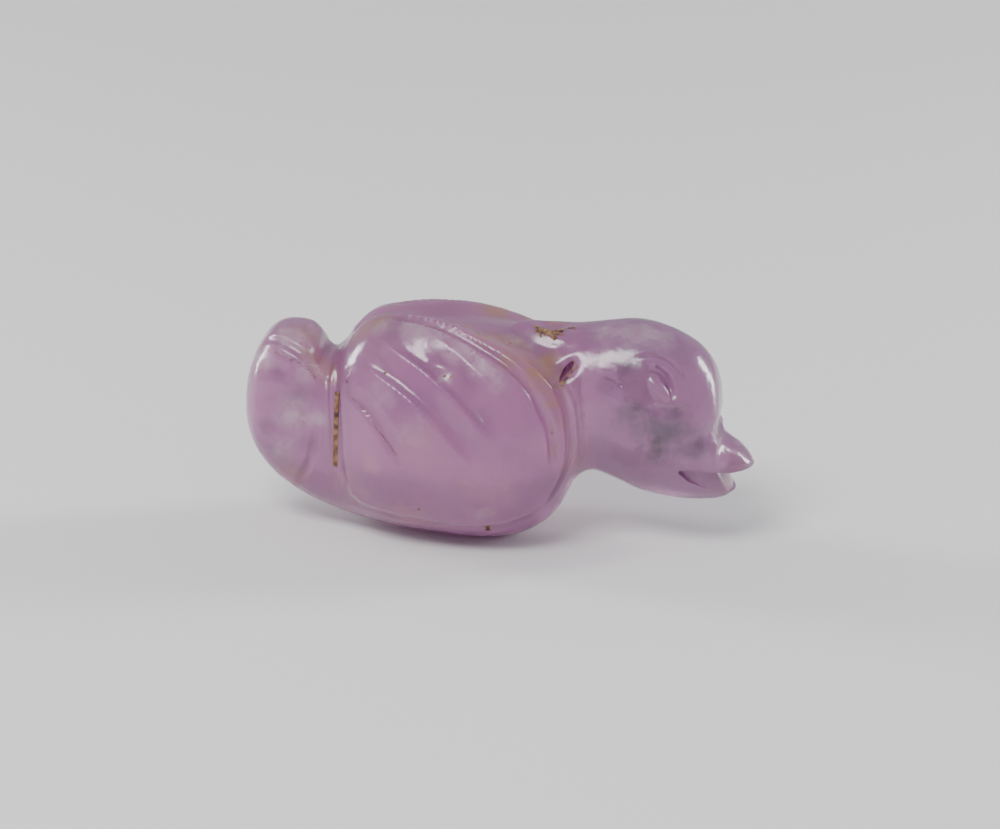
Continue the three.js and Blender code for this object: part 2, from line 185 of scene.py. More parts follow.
def half_width_at(x, z):
    s = sections(x)
    over = z > s["widest"]
    square = np.where(over, s["above"], s["below"])
    share = np.clip(np.abs(z - s["widest"]) / np.where(over, s["rise"], s["fall"]), 0, 1)
    return s["half"] * (1 - share**square) ** (1 / square)


def smoothstep(value, low, high):
    t = np.clip((value - low) / (high - low), 0, 1)
    return t * t * (3 - 2 * t)


print("length of the stone", BEAK_END[0] - TAIL_END[0], "mm")

# %% [markdown]
# ## The relief on the flanks
# The wings stand a little above the body, the back between them is hollow, and the nape
# rises out of the hollow like a wedge. Such soft differences of height are a displacement:
# every point of the surface moves in or out by an amount that is worked out from its place.
# A Displace modifier could do it with a painted picture, but worked out in code the relief
# stays sharp at any size. Places on the body are given as x and degrees from the back ridge.

# %% Wings, valley and hollows
WING_EDGE = [
    (-6.3, 4), (-5.2, 2.5), (-4.2, 4), (-2.2, 10.5), (-0.65, 18.5), (1.2, 29.5),
    (2.4, 38.5), (3.3, 52), (3.85, 70), (4.1, 87), (4.15, 103), (3.7, 118),
    (2.6, 126), (0.5, 128.5), (-3.8, 129), (-5.4, 129), (-6.2, 124), (-6.5, 108),
    (-6.75, 81), (-6.92, 50), (-6.95, 30), (-6.85, 12),
]
WING_RISE = 0.16
WING_STEP = 0.55
VALLEY = {"from": -5.0, "to": 4.8, "fade": 2.0, "depth": 0.42, "shoulder": 0.9, "side": 40, "end": 75}
NAPE_EDGE = [(1.0, -10), (1.95, 2), (4.2, 20), (4.8, 28)]
NAPE_SLOPE = 12
WING_CHIP = (-1.9, -42, 1.1, 0.75, 0.2)
NECK_PIT = (3.2, 1, 1.2, 1.0, 0.28)
BORE_HOLLOW = (4.2, 46, 0.9, 0.8, 0.2)
EYE_SOCKET = {"x": 8.85, "z": 8.85, "long": 1.35, "high": 1.15, "depth": 0.2}
wing_outline = smooth_curve(WING_EDGE, closed=True, samples=12)


def depth_in_wing(x, degrees, stretch):
    """Millimetres inside the wing's edge, less than nothing outside it."""
    nearest = np.full(x.shape, np.inf)
    inside = np.zeros(x.shape, bool)
    for start, end in zip(wing_outline, wing_outline[1:]):
        dx, dy = end[0] - start[0], (end[1] - start[1]) * stretch
        px, py = x - start[0], (degrees - start[1]) * stretch
        share = np.clip((px * dx + py * dy) / np.maximum(dx * dx + dy * dy, 1e-9), 0, 1)
        nearest = np.minimum(nearest, np.hypot(px - share * dx, py - share * dy))
        spans = (start[1] > degrees) != (end[1] > degrees)
        rise = end[1] - start[1] or 1e-9
        inside ^= spans & (x < start[0] + (degrees - start[1]) / rise * (end[0] - start[0]))
    return np.where(inside, nearest, -nearest)


def soft_bump(share):
    return np.where(share < 1, (1 + np.cos(np.pi * np.minimum(share, 1))) / 2, 0)


def wing_relief(x, degrees, stretch):
    inside = depth_in_wing(x, degrees, stretch)
    rise = WING_RISE * smoothstep(inside, -WING_STEP / 2, WING_STEP / 2)
    between = smoothstep(-inside, 0, VALLEY["shoulder"]) * (1 - smoothstep(degrees, VALLEY["side"], VALLEY["end"]))
    along = smoothstep(x, VALLEY["from"], VALLEY["from"] + VALLEY["fade"])
    along = along * (1 - smoothstep(x, VALLEY["to"] - VALLEY["fade"], VALLEY["to"]))
    beside_nape = smoothstep(degrees - read_row(NAPE_EDGE, x), 0, NAPE_SLOPE)
    return rise - VALLEY["depth"] * between * along * beside_nape


def hollow(place, x, degrees, stretch):
    middle_x, middle_degrees, long, high, depth = place
    return -depth * soft_bump(np.hypot((x - middle_x) / long, (degrees - middle_degrees) * stretch / high))


def socket_relief(x, z):
    off = np.hypot((x - EYE_SOCKET["x"]) / EYE_SOCKET["long"], (z - EYE_SOCKET["z"]) / EYE_SOCKET["high"])
    return -EYE_SOCKET["depth"] * soft_bump(off)


# %% [markdown]
# ## The engraved lines
# A gem cutter draws the feathers, the rim of the wing and the lids with the edge of a
# turning wheel. Here a line is a smooth curve laid on the surface, and each point of the
# stone near it sinks by a rounded profile that fades out at both ends. The feather cuts are
# steep on one side and gentle on the other, as the tilted wheel leaves them, and a fine
# polished crest runs along each edge, which is what catches the light.

# %% Lines on the body, the tail and the head
BODY_LINES = [
    {"width": 0.62, "depth": 0.2, "fade": 0.1, "crest": 0.05, "points": [
        (-5.0, 8.5), (-4.2, 10.5), (-2.2, 18.5), (-0.6, 27.5), (1.1, 38.5), (2.2, 49.5),
        (3.0, 64), (3.5, 80), (3.62, 92), (3.6, 104)]},
    {"width": 0.62, "depth": 0.18, "fade": 0.2, "crest": 0.04, "points": [
        (1.6, 29), (2.7, 38), (3.6, 52), (4.2, 70), (4.42, 87), (4.45, 104), (4.0, 120), (3.0, 129)]},
    {"width": 0.45, "depth": 0.09, "fade": 0.1, "points": [(3.3, 127), (0.5, 132), (-3.8, 133), (-5.6, 131)]},
    {"width": 0.7, "depth": 0.15, "fade": 0.15, "crest": 0.03, "points": [
        (-7.15, 22), (-7.2, 50), (-7.05, 81), (-6.75, 108), (-6.4, 124)]},
    {"width": 1.75, "depth": 0.36, "fade": 0.28, "gentle": 3.4, "crest": 0.05, "points": [
        (-4.6, 29), (-1.7, 51), (1.1, 76)]},
    {"width": 1.6, "depth": 0.28, "fade": 0.3, "gentle": 3.2, "crest": 0.045, "points": [
        (-6.2, 41), (-2.9, 62), (0.35, 88)]},
    {"width": 1.0, "depth": 0.2, "fade": 0.3, "gentle": 2.4, "crest": 0.03, "points": [
        (-6.5, 63), (-5.0, 77), (-3.4, 94)]},
    {"width": 0.6, "depth": 0.12, "fade": 0.2, "crest": 0.02, "points": [
        (-11.2, 15), (-10.2, 29), (-9.17, 40), (-8.02, 47), (-7.5, 49)]},
    {"width": 1.1, "depth": 0.14, "fade": 0.4, "points": [(-11.3, 59), (-10.3, 63), (-9.2, 67)]},
    {"width": 1.1, "depth": 0.14, "fade": 0.4, "points": [(-11.4, 88), (-10.3, 88), (-9.2, 90)]},
    {"width": 0.6, "depth": 0.12, "fade": 0.3, "crest": 0.02, "points": [
        (-9.6, 148), (-9.0, 128), (-8.4, 103), (-8.15, 84)]},
]
HEAD_LINES = [
    {"width": 0.5, "depth": 0.28, "fade": 0.25, "points": [(7.95, 9.72), (8.65, 9.68), (9.2, 9.2), (9.45, 8.3)]},
    {"width": 0.36, "depth": 0.07, "fade": 0.25, "crest": 0.03, "points": [
        (7.3, 10.2), (8.1, 10.36), (9.0, 10.1), (9.6, 9.65), (10.0, 8.9)]},
    {"width": 0.5, "depth": 0.2, "fade": 0.25, "points": [(8.1, 7.98), (9.1, 7.75), (10.2, 7.8)]},
]
BEAK_ROOT = {"width": 1.15, "depth": 0.24, "fade": 0.35}
BEAK_ROOT_FRONT = (11.62, 6.3)
CHEEK_CREASE = [(11.35, 6.45), (10.85, 6.35), (10.35, 6.0), (10.0, 5.45), (9.8, 4.9)]
CREST_WIDTH = 0.09
LINE_SPACING = 0.05


def on_body(x, degrees, side):
    p = point_at(x, side * degrees)
    stretch = np.radians(sections(x)["girth"])
    return p + outward_at(p) * wing_relief(x, degrees, stretch)[:, None]


def on_head(x, z, side):
    p = np.stack([x, side * half_width_at(x, z), z], axis=-1)
    return p + outward_at(p) * socket_relief(x, z)[:, None]


def evenly_spaced(p, spacing):
    walked = np.concatenate([[0], np.cumsum(np.linalg.norm(np.diff(p, axis=0), axis=1))])
    steps = np.linspace(0, walked[-1], max(8, int(walked[-1] / spacing)))
    return np.stack([np.interp(steps, walked, p[:, axis]) for axis in range(3)], axis=-1), steps


def engraved(p, line, path, side):
    """How far a line laid along path sinks each of the points p, as a negative height."""
    path, walked = evenly_spaced(path, LINE_SPACING)
    along = np.gradient(path, axis=0)
    along /= np.linalg.norm(along, axis=1, keepdims=True)
    across = np.cross(along, outward_at(path)) * side
    reach = line["width"]
    near = np.all((p > path.min(0) - reach) & (p < path.max(0) + reach), axis=1)
    result = np.zeros(len(p))
    for part in np.array_split(np.nonzero(near)[0], 1 + near.sum() // 4000):
        gaps = p[part][:, None, :] - path[None, :, :]
        closest = np.argmin((gaps**2).sum(-1), axis=1)
        gap = gaps[np.arange(len(part)), closest]
        sideways = (gap * across[closest]).sum(-1)
        beyond = np.abs((gap * along[closest]).sum(-1))
        gentle = line.get("gentle", 1)
        steep_half = line["width"] / (1 + gentle)
        half = np.where(sideways > 0, steep_half * gentle, steep_half)
        off = np.hypot(sideways, beyond) / half
        fade = smoothstep(np.minimum(walked[closest], walked[-1] - walked[closest]) / walked[-1], 0, line["fade"])
        sunk = line["depth"] * np.clip(1 - off**2, 0, 1) ** 1.4
        crest = line.get("crest", 0) * np.exp(-(((off - 1.05) * half / CREST_WIDTH) ** 2))
        result[part] = fade * (crest - sunk)
    return result


def all_engraving(p):
    """The deepest engraving at each point, over every line on both sides."""
    deepest = np.zeros(len(p))
    highest = np.zeros(len(p))
    laid = []
    for side in (-1, 1):
        for line in BODY_LINES:
            marks = smooth_curve(line["points"], samples=30)
            laid.append((line, on_body(marks[:, 0], marks[:, 1], side), side))
        for line in HEAD_LINES:
            marks = smooth_curve(line["points"], samples=30)
            laid.append((line, on_head(marks[:, 0], marks[:, 1], side), side))
    cheek = np.array(CHEEK_CREASE)
    right, left = (on_head(cheek[:, 0], cheek[:, 1], side) for side in (-1, 1))
    front = np.array([[BEAK_ROOT_FRONT[0], 0, BEAK_ROOT_FRONT[1]]])
    laid.append((BEAK_ROOT, smooth_curve(np.vstack([right[::-1], front, left]), samples=20), 1))
    for line, path, side in laid:
        height = engraved(p, line, path, side)
        deepest = np.minimum(deepest, height)
        highest = np.maximum(highest, height)
    return np.where(deepest < -0.004, deepest, highest)


# %% [markdown]
# ## The eye
# The eye is an almond that leans forward in its socket. It is the height of half an
# ellipsoid, and wherever that stands above the carved socket, the stone follows it.

# %% The almond of the eye
EYE_BALL = {"x": 8.72, "z": 8.8, "long": 0.8, "high": 0.36, "thick": 0.26, "lean": 47, "sunk": 0.14}


def eye_ball_height(x, z):
    """Height of the eye's almond over the rough form, far below it where there is none."""
    lean = math.radians(EYE_BALL["lean"])
    dx, dz = x - EYE_BALL["x"], z - EYE_BALL["z"]
    along = dx * math.cos(lean) - dz * math.sin(lean)
    across = dx * math.sin(lean) + dz * math.cos(lean)
    off = (along / EYE_BALL["long"]) ** 2 + (across / EYE_BALL["high"]) ** 2
    return np.where(off < 1, EYE_BALL["thick"] * np.sqrt(np.clip(1 - off, 0, 1)) - EYE_BALL["sunk"], -1)


# %% [markdown]
# ## The stone itself
# The stone starts as a UV sphere that is laid along the duck: each of its rings becomes one
# cross-section. This is the pinch and pull of sculpting, done by numbers, and it keeps the
# tidy rows of faces that make a polished surface look polished. The rings stand at even
# steps along the line of the back, so that the steep forehead gets enough of them.

# %% Lay the sphere along the duck and carve it
ALONG = 470
AROUND = 200
END_CROWDING = 0.3
BACK_CROWDING = 0.22
WEAR = ((0.55, 0.012), (0.21, 0.005))


def vertex_places(obj):
    flat = np.empty(len(obj.data.vertices) * 3, np.float32)
    obj.data.vertices.foreach_get("co", flat)
    return flat.reshape(-1, 3).astype(float)


def set_vertex_places(obj, p):
    obj.data.vertices.foreach_set("co", p.astype(np.float32).ravel())
    obj.data.update()


def noise_at(p, size, seed=0):
    """Smooth noise from -1 to 1 at each point, with lumps of about this size."""
    offset = Vector((seed * 7.3, seed * 3.1, seed * 5.7))
    return np.array([noise.noise(Vector(q) / size + offset) for q in p])


def carved(x, degrees):
    """The finished surface at these places, in millimetres."""
    p = point_at(x, degrees)
    s = sections(x)
    stretch = np.radians(s["girth"])
    height = wing_relief(x, np.abs(degrees), stretch) + socket_relief(x, p[:, 2])
    height += hollow(WING_CHIP, x, degrees, stretch) + hollow(NECK_PIT, x, degrees, stretch)
    height += hollow(BORE_HOLLOW, x, np.abs(degrees), stretch)
    on_relief = p + outward_at(p) * height[:, None]
    height += all_engraving(on_relief)
    height = np.where(x > 7, np.maximum(height, eye_ball_height(x, p[:, 2])), height)
    height += sum(depth * noise_at(p, size, seed) for seed, (size, depth) in enumerate(WEAR))
    return p + outward_at(p) * height[:, None]


bpy.ops.object.select_all(action="DESELECT")
bpy.ops.mesh.primitive_uv_sphere_add(segments=AROUND, ring_count=ALONG, radius=1)
duck = bpy.context.object
duck.name = duck.data.name = "duck_stone"
ball = vertex_places(duck)
share = np.arctan2(np.hypot(ball[:, 0], ball[:, 1]), ball[:, 2]) / math.pi
crowded = (1 - np.cos(math.pi * share)) / 2
back_x, back_z = RAILS["top"]
walked = np.concatenate([[0], np.cumsum(np.hypot(np.diff(back_x), np.diff(back_z)))])
station = np.interp(share + END_CROWDING * (crowded - share), walked / walked[-1], back_x)
turn = np.arctan2(ball[:, 1], ball[:, 0])
turn = turn - BACK_CROWDING * np.sin(turn)
stone = carved(station, np.degrees(turn))
for end, place in ((share < 1e-6, TAIL_END), (share > 1 - 1e-6, BEAK_END)):
    stone[end] = (place[0], 0, place[1])
stone[:, 2] = np.maximum(stone[:, 2], 0)
stone[:, 0] -= REST_X
set_vertex_places(duck, stone * MM)
print("stone", len(duck.data.vertices), "points, box", stone.min(0).round(2), stone.max(0).round(2))

# %% [markdown]
# ## Saw cuts, mouth and cord bore
# Some cuts leave walls that stand straight up or go right through, which moving points in
# or out can't give. They are made as in the workshop, with a tool of the right shape that
# is taken out of the stone by a Boolean modifier. The tools are a thin disc for the saw cut
# in front of the tail, two cones waist to waist for the bore, and for each side of the mouth
# a strip bent to the wall that the cut leaves, then extruded away from the stone. The
# Manifold solver suits closed shapes like these, and it copes with the crowded rings of the
# forehead. The volume is printed after each cut, since a cut that fails leaves it unchanged.

# %% Cut with tools
SAW_CUT = {"x": -7.16, "z": 6.15, "floor": 2.35, "width": 0.22, "radius": 6}
BORE = {"x": 4.16, "z": 9.42, "long": 0.62, "short": 0.2, "waist": 0.45, "lean": 56, "reach": 3.2}
MOUTH_LINE = [(9.8, 4.62), (10.4, 4.69), (12.2, 4.16), (14, 4.2)]
LIP_LINE = [(9.8, 4.45), (10.3, 3.95), (11.2, 3.5), (12.3, 2.98), (14, 2.4)]
MOUTH = {"from": 9.8, "full": 11, "depth": 0.42, "steps": 70, "rows": 7, "outside": 1.5, "past": 0.05}
JAW = {"round": 0.5, "upper_end": 11.85, "lower_end": 12.36, "half": 2.1, "beyond": 1.8}


def place(obj):
    """Puts an object's place, turn and size into its mesh."""
    bpy.ops.object.select_all(action="DESELECT")
    obj.select_set(True)
    bpy.context.view_layer.objects.active = obj
    bpy.ops.object.transform_apply(location=True, rotation=True, scale=True)


def saw_disc(side):
    y = side * (SAW_CUT["floor"] + SAW_CUT["radius"])
    bpy.ops.mesh.primitive_cylinder_add(
        vertices=256, radius=SAW_CUT["radius"] * MM, depth=SAW_CUT["width"] * MM,
        location=((SAW_CUT["x"] - REST_X) * MM, y * MM, SAW_CUT["z"] * MM), rotation=(0, math.pi / 2, 0))
    disc = bpy.context.object
    place(disc)
    return disc


def bore_lens():
    """Two blunt cones, waist to waist, pressed flat and turned to the slant of the bore."""
    bpy.ops.mesh.primitive_cylinder_add(vertices=48, radius=1, depth=2, location=(0, 0, 0))
    lens = bpy.context.object
    bpy.ops.object.mode_set(mode="EDIT")
    bpy.ops.mesh.select_all(action="SELECT")
    bpy.ops.mesh.bisect(plane_co=(0, 0, 0), plane_no=(0, 0, 1))
    bpy.ops.transform.resize(value=(BORE["waist"], BORE["waist"], 1))
    bpy.ops.object.mode_set(mode="OBJECT")
    lens.scale = (BORE["long"] * MM, BORE["short"] * MM, BORE["reach"] * MM)
    lens.rotation_euler = (math.pi / 2, -math.radians(BORE["lean"]), 0)
    lens.location = ((BORE["x"] - REST_X) * MM, 0, BORE["z"] * MM)
    place(lens)
    return lens


def jaw_width_at(share):
    """Half the width of the lower jaw, which rounds off to nothing where share is 1."""
    bend = np.clip((share - JAW["round"]) / (1 - JAW["round"]), 0, 1)
    return np.where(bend < 1, JAW["half"] * np.sqrt(1 - bend**2), -MOUTH["past"])


def mouth_tool(side):
    """A strip from the lower lip in to the line under the upper beak, extruded outwards."""
    bpy.ops.mesh.primitive_grid_add(
        x_subdivisions=MOUTH["steps"], y_subdivisions=MOUTH["rows"], size=1, location=(0, 0, 0))
    tool = bpy.context.object
    flat = vertex_places(tool)
    share, height = JAW["beyond"] * (flat[:, 0] + 0.5), flat[:, 1] + 0.5
    end = JAW["lower_end"] + (JAW["upper_end"] - JAW["lower_end"]) * height
    x = MOUTH["from"] + (end - MOUTH["from"]) * share
    z = read_row(LIP_LINE, x) + (read_row(MOUTH_LINE, x) - read_row(LIP_LINE, x)) * height
    sunk = MOUTH["depth"] * smoothstep(x, MOUTH["from"], MOUTH["full"]) * height**0.7
    wall = np.minimum(half_width_at(np.minimum(x, BEAK_END[0]), z) - sunk, jaw_width_at(share))
    y = side * np.maximum(wall, -MOUTH["past"])
    set_vertex_places(tool, np.stack([x - REST_X, y, z], axis=-1) * MM)
    bpy.ops.object.mode_set(mode="EDIT")
    bpy.ops.mesh.select_all(action="SELECT")
    outwards = side * MOUTH["outside"] * 2 * MM
    bpy.ops.mesh.extrude_region_move(TRANSFORM_OT_translate={"value": (0, outwards, 0)})
    bpy.ops.mesh.select_all(action="SELECT")
    bpy.ops.mesh.normals_make_consistent(inside=False)
    bpy.ops.object.mode_set(mode="OBJECT")
    return tool


def cut(obj, tool):
    modifier = obj.modifiers.new("cut", "BOOLEAN")
    modifier.operation = "DIFFERENCE"
    modifier.solver = "MANIFOLD"
    modifier.object = tool
    bpy.ops.object.select_all(action="DESELECT")
    obj.select_set(True)
    bpy.context.view_layer.objects.active = obj
    bpy.ops.object.modifier_apply(modifier=modifier.name)
    bpy.data.objects.remove(tool)


def volume(obj):
    """The volume inside a closed mesh, in cubic millimetres."""
    mesh = bmesh.new()
    mesh.from_mesh(obj.data)
    inside = mesh.calc_volume(signed=True) / MM**3
    mesh.free()
    return inside


for tool in (saw_disc(-1), saw_disc(1), bore_lens(), mouth_tool(-1), mouth_tool(1)):
    cut(duck, tool)
    print("after a cut:", len(duck.data.polygons), "faces,", round(volume(duck), 2), "cubic mm")

# A cut can leave an empty material slot first in the list, which would hide the stone's own.
duck.data.materials.clear()
bpy.ops.object.shade_smooth_by_angle(angle=math.radians(50))
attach(duck, "root")
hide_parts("duck")

# %% [markdown]
# ## Where the stone changes
# Amethyst is never one colour, and an old one is stained where soil lay on it. Each change
# is painted as an attribute: a number between 0 and 1 at every point of the mesh, worked
# out from the point's place. The material then mixes its colours by these numbers. The
# same could be painted by hand in Vertex Paint, but here it follows the carving exactly.
# A patch is a list of soft spots, each a place, a radius and a strength. Spots that overlap
# melt together, and noise frays their edges, so that none of them shows as a round dot.
# Some of these masks also carry painted light: the milky white is partly painted highlight, the grey patches are
# partly painted shade, the warm pink is partly painted light glowing through, and the deeper violet of the head is
# partly painted dark.

# %% Paint the stains, the grey with painted shade, the milky white with painted highlight, and the warm pink with painted light glowing through
STAIN = [
    ((-1.0, -0.9, 11.2), 0.9, 0.7), ((0.0, -1.8, 10.9), 1.3, 0.8), ((1.2, -1.8, 10.8), 1.4, 0.9),
    ((1.6, -3.0, 9.9), 1.2, 0.8), ((2.6, -2.9, 9.6), 1.5, 1), ((3.3, -2.8, 9.3), 1.3, 1),
    ((3.1, -2.1, 10.1), 1.1, 0.8), ((3.6, -3.3, 8.2), 1.1, 0.8), ((3.3, 1.2, 10.7), 1.3, 1),
    ((0.2, 1.9, 10.9), 1.6, 0.8), ((2.2, 2.6, 10.0), 1.6, 0.9), ((3.4, 2.6, 9.4), 1.3, 0.9),
    ((-5.3, -1.4, 10.9), 1.3, 0.8), ((-6.2, -1.4, 10.2), 1.1, 0.6), ((-8.9, -0.8, 10.0), 1.7, 0.75),
    ((-8.2, -1.9, 8.9), 1.2, 0.8), ((-7.6, -2.2, 8.2), 0.9, 0.6), ((-9.4, -1.8, 3.2), 1.5, 0.7),
    ((-7.2, -2.6, 5.6), 0.8, 0.4), ((-7.1, -2.6, 4.2), 0.8, 0.5), ((3.9, -3.4, 7.0), 0.8, 0.5),
    ((3.6, -3.6, 5.6), 0.7, 0.4), ((0.6, -3.6, 1.4), 0.7, 0.6),
]
# Grey patches. Those in the head are painted shade: the dark that the clear stone shows of its surroundings, and
# the hollow round and under the eye. The rest darken the tail and the flank.
SMOKE_AND_SHADE = [
    ((7.1, -2.8, 7.5), 1.2, 0.6), ((8.0, -2.9, 7.0), 1.5, 0.8), ((9.0, -2.9, 6.8), 1.6, 0.9),
    ((9.9, -2.8, 6.5), 1.4, 0.9), ((10.5, -2.4, 5.8), 1.1, 1), ((9.3, -2.8, 5.6), 1.3, 0.8),
    ((9.7, -2.8, 7.6), 1.0, 1), ((7.0, -2.2, 9.9), 1.0, 0.6), ((6.2, -2.6, 8.9), 0.9, 0.4),
    ((8.3, 2.9, 6.9), 1.9, 0.8), ((9.9, 2.6, 6.2), 1.6, 0.9), ((7.2, 2.7, 8.2), 1.2, 0.5),
    ((-10.2, -2.4, 8.4), 0.8, 0.65), ((-10.7, -2.4, 5.6), 0.8, 0.6), ((-9.1, -2.7, 7.6), 1.1, 0.5),
    ((-8.6, -2.7, 5.0), 0.9, 0.35), ((-0.5, -4.3, 8.8), 1.0, 0.3), ((0.5, -4.6, 7.6), 0.9, 0.3),
    ((-2.5, -3.6, 9.9), 0.8, 0.3),
]
# Milky white: partly the stone's own milkiness and wear, partly a painted satin highlight on the back, the top of
# the head and the tail.
MILK_AND_HIGHLIGHT = [
    ((-9.6, -1.4, 9.9), 1.4, 0.7), ((-10.9, -1.8, 9.0), 1.0, 0.7), ((-9.4, -2.7, 6.4), 1.3, 0.8),
    ((-8.5, -2.4, 8.6), 1.0, 0.6), ((-9.9, -2.4, 4.4), 1.4, 0.5), ((-8.2, -2.7, 6.3), 0.8, 0.7),
    ((-5.0, -1.7, 10.8), 1.0, 0.6), ((-3.4, -2.1, 10.9), 1.1, 0.8), ((-2.2, -2.6, 10.7), 1.0, 0.8),
    ((-1.0, -3.1, 10.3), 1.0, 0.8), ((0.0, -3.5, 9.75), 0.9, 0.7), ((0.9, -3.8, 9.2), 0.9, 0.5),
    ((-1.7, -4.0, 9.4), 0.7, 0.8), ((6.2, -0.8, 11.1), 1.4, 0.6), ((7.4, -1.1, 11.1), 1.3, 0.7),
    ((8.6, -1.1, 10.9), 1.2, 0.5), ((2.6, -1.3, 10.8), 0.9, 0.8), ((1.4, -1.3, 10.9), 0.9, 0.6),
    ((-3.4, 2.1, 10.9), 1.3, 0.7), ((-0.8, 3.2, 10.2), 1.2, 0.6), ((-9.2, 2.4, 8.2), 1.8, 0.6),
    ((0.3, -4.4, 2.5), 1.0, 0.4), ((-3.2, -4.6, 7.0), 1.2, 0.3), ((-4.6, -4.2, 8.2), 1.2, 0.35),
]
# Warm pink patches: partly a warm tone of the stone on the lower flank, partly painted light glowing through thin
# places such as the beak and the front of the forehead.
WARM_TINT_AND_GLOW = [
    ((-5.15, -4.2, 4.7), 0.9, 1), ((-6.4, -3.0, 3.2), 1.6, 0.7), ((-3.2, -3.6, 2.0), 2.2, 0.5),
    ((0.6, -4.4, 4.0), 2.4, 0.4), ((-2.6, -4.8, 6.0), 2.0, 0.4), ((12.3, -0.6, 4.6), 1.0, 0.5),
    ((11.6, -0.8, 6.5), 1.0, 0.6), ((4.9, -3.0, 5.0), 1.3, 0.8), ((12.3, -0.8, 3.4), 0.9, 0.9),
]
CAKED = [
    ((3.0, -0.5, 10.9), 0.75, 1), ((3.6, -0.5, 10.8), 0.55, 0.9), ((2.5, -0.8, 10.85), 0.45, 0.8),
    ((4.16, -2.5, 9.42), 0.5, 1), ((4.16, 2.5, 9.42), 0.5, 1), ((3.95, -2.9, 8.95), 0.45, 0.8),
    ((0.7, -1.7, 10.8), 0.4, 0.6), ((-0.2, -1.8, 10.95), 0.4, 0.6), ((0.55, -3.6, 1.4), 0.25, 0.8),
]


def patches(p, spots, fray=0.3):
    """0 to 1 at each point: spots that melt together, with frayed edges."""
    ragged = fray * (noise_at(p, 0.8, 11) + 0.6 * noise_at(p, 0.3, 12))
    left = np.ones(len(p))
    for middle, radius, strength in spots:
        off = np.linalg.norm(p - np.array(middle), axis=1) / radius
        left *= 1 - strength * soft_bump(np.maximum(off + ragged, 0))
    return 1 - left


def paint(obj, name, value):
    layer = obj.data.attributes.new(name, "FLOAT", "POINT")
    layer.data.foreach_set("value", np.clip(value, 0, 1).astype(np.float32))
    print(name, "covers", round(100 * float(np.mean(value > 0.3))), "% of the points")


finished = vertex_places(duck) / MM
finished[:, 0] += REST_X
for name, spots in (("stain", STAIN), ("smoke_and_shade", SMOKE_AND_SHADE), ("milk_and_highlight", MILK_AND_HIGHLIGHT), ("warm_tint_and_glow", WARM_TINT_AND_GLOW), ("caked", CAKED)):
    paint(duck, name, patches(finished, spots))
paint(duck, "head", smoothstep(finished[:, 0], 4.2, 6.5))
paint(duck, "cut", np.clip(-all_engraving(finished) / 0.15, 0, 1))

# %% [markdown]
# ## Cracks that have healed, sealed in the stone
# The white veils in a quartz are old cracks that grew together again around tiny bubbles.
# They lie under the polish, so here they are real geometry inside the stone: hundreds of
# small flakes, each a flattened ico sphere, laid along a line or inside an outline and sunk
# a little under the skin. By hand this is one flake and many duplicates; in code it is one
# flake and an array of places, which is also how a scatter tool works.

# %% Find places on the skin of the stone
skin = BVHTree.FromObject(duck, bpy.context.evaluated_depsgraph_get())


def nearest_skin(p):
    """The place on the skin nearest to each point, and the way out of the stone there."""
    found = [skin.find_nearest(Vector(((x - REST_X) * MM, y * MM, z * MM))) for x, y, z in p]
    return np.array([hit[0] for hit in found]), np.array([hit[1] for hit in found])


def skin_from_side(outline, count, generator, side=-1):
    """Random places on the skin inside an outline drawn on the side view, as [x, z]."""
    outline = np.array(outline)
    places, ways_out = [], []
    while len(places) < count:
        x, z = generator.uniform(outline.min(0), outline.max(0))
        if not inside_outline(x, z, outline):
            continue
        start = Vector(((x - REST_X) * MM, side * 0.02, z * MM))
        place, way_out, _, _ = skin.ray_cast(start, Vector((0, -side, 0)))
        if place is not None:
            places.append(place)
            ways_out.append(way_out)
    return np.array(places), np.array(ways_out)


def inside_outline(x, z, outline):
    inside = False
    for (x0, z0), (x1, z1) in zip(outline, np.roll(outline, -1, axis=0)):
        if (z0 > z) != (z1 > z) and x < x0 + (z - z0) / (z1 - z0) * (x1 - x0):
            inside = not inside
    return inside


def along_line(points, spacing, spread, generator):
    """Places on the skin along a line, strayed sideways by about the spread."""
    line, _ = evenly_spaced(smooth_curve(points, samples=20), spacing)
    return nearest_skin(line + generator.normal(0, spread, line.shape))


# %% Make a cloud of flakes or crumbs
def lumps(name, places, ways_out, sizes, flatness, depths, generator):
    """One mesh of many small lumps on the skin, each turned, stretched and dented by chance."""
    bpy.ops.mesh.primitive_ico_sphere_add(subdivisions=1, radius=1, location=(0, 0, 0))
    lump = bpy.context.object
    ball = vertex_places(lump)
    faces = np.array([tuple(face.vertices) for face in lump.data.polygons])
    bpy.data.objects.remove(lump)
    count = len(places)
    random_way = generator.normal(size=(count, 3))
    first = np.cross(ways_out, random_way)
    first /= np.linalg.norm(first, axis=1, keepdims=True)
    second = np.cross(ways_out, first)
    stretch = generator.uniform(0.7, 1.4, (count, 1, 1))
    dents = generator.uniform(0.75, 1.25, (count, len(ball), 1))
    shaped = (first[:, None] * ball[None, :, :1] * stretch + second[:, None] * ball[None, :, 1:2] / stretch
              + ways_out[:, None] * ball[None, :, 2:] * flatness) * dents * sizes[:, None, None] * MM
    middles = places - ways_out * depths[:, None] * MM
    corners = (middles[:, None] + shaped).reshape(-1, 3)
    all_faces = (faces[None] + (np.arange(count) * len(ball))[:, None, None]).reshape(-1, 3)
    mesh = bpy.data.meshes.new(name)
    mesh.from_pydata(corners.tolist(), [], all_faces.tolist())
    piece = bpy.data.objects.new(name, mesh)
    bpy.context.scene.collection.objects.link(piece)
    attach(piece, "root")
    print(name, "has", count, "lumps and", len(all_faces), "triangles")
    return piece


def gathered(groups):
    """Joins (places, ways out, sizes, depths) groups into one set of arrays."""
    return [np.concatenate(column) for column in zip(*groups)]


def flakes(found, size, depth, generator):
    """Sizes and depths by chance for places that were found, in millimetres."""
    places, ways_out = found
    count = len(places)
    return places, ways_out, size * generator.uniform(0.5, 1.4, count), depth * generator.uniform(0.6, 1.6, count)


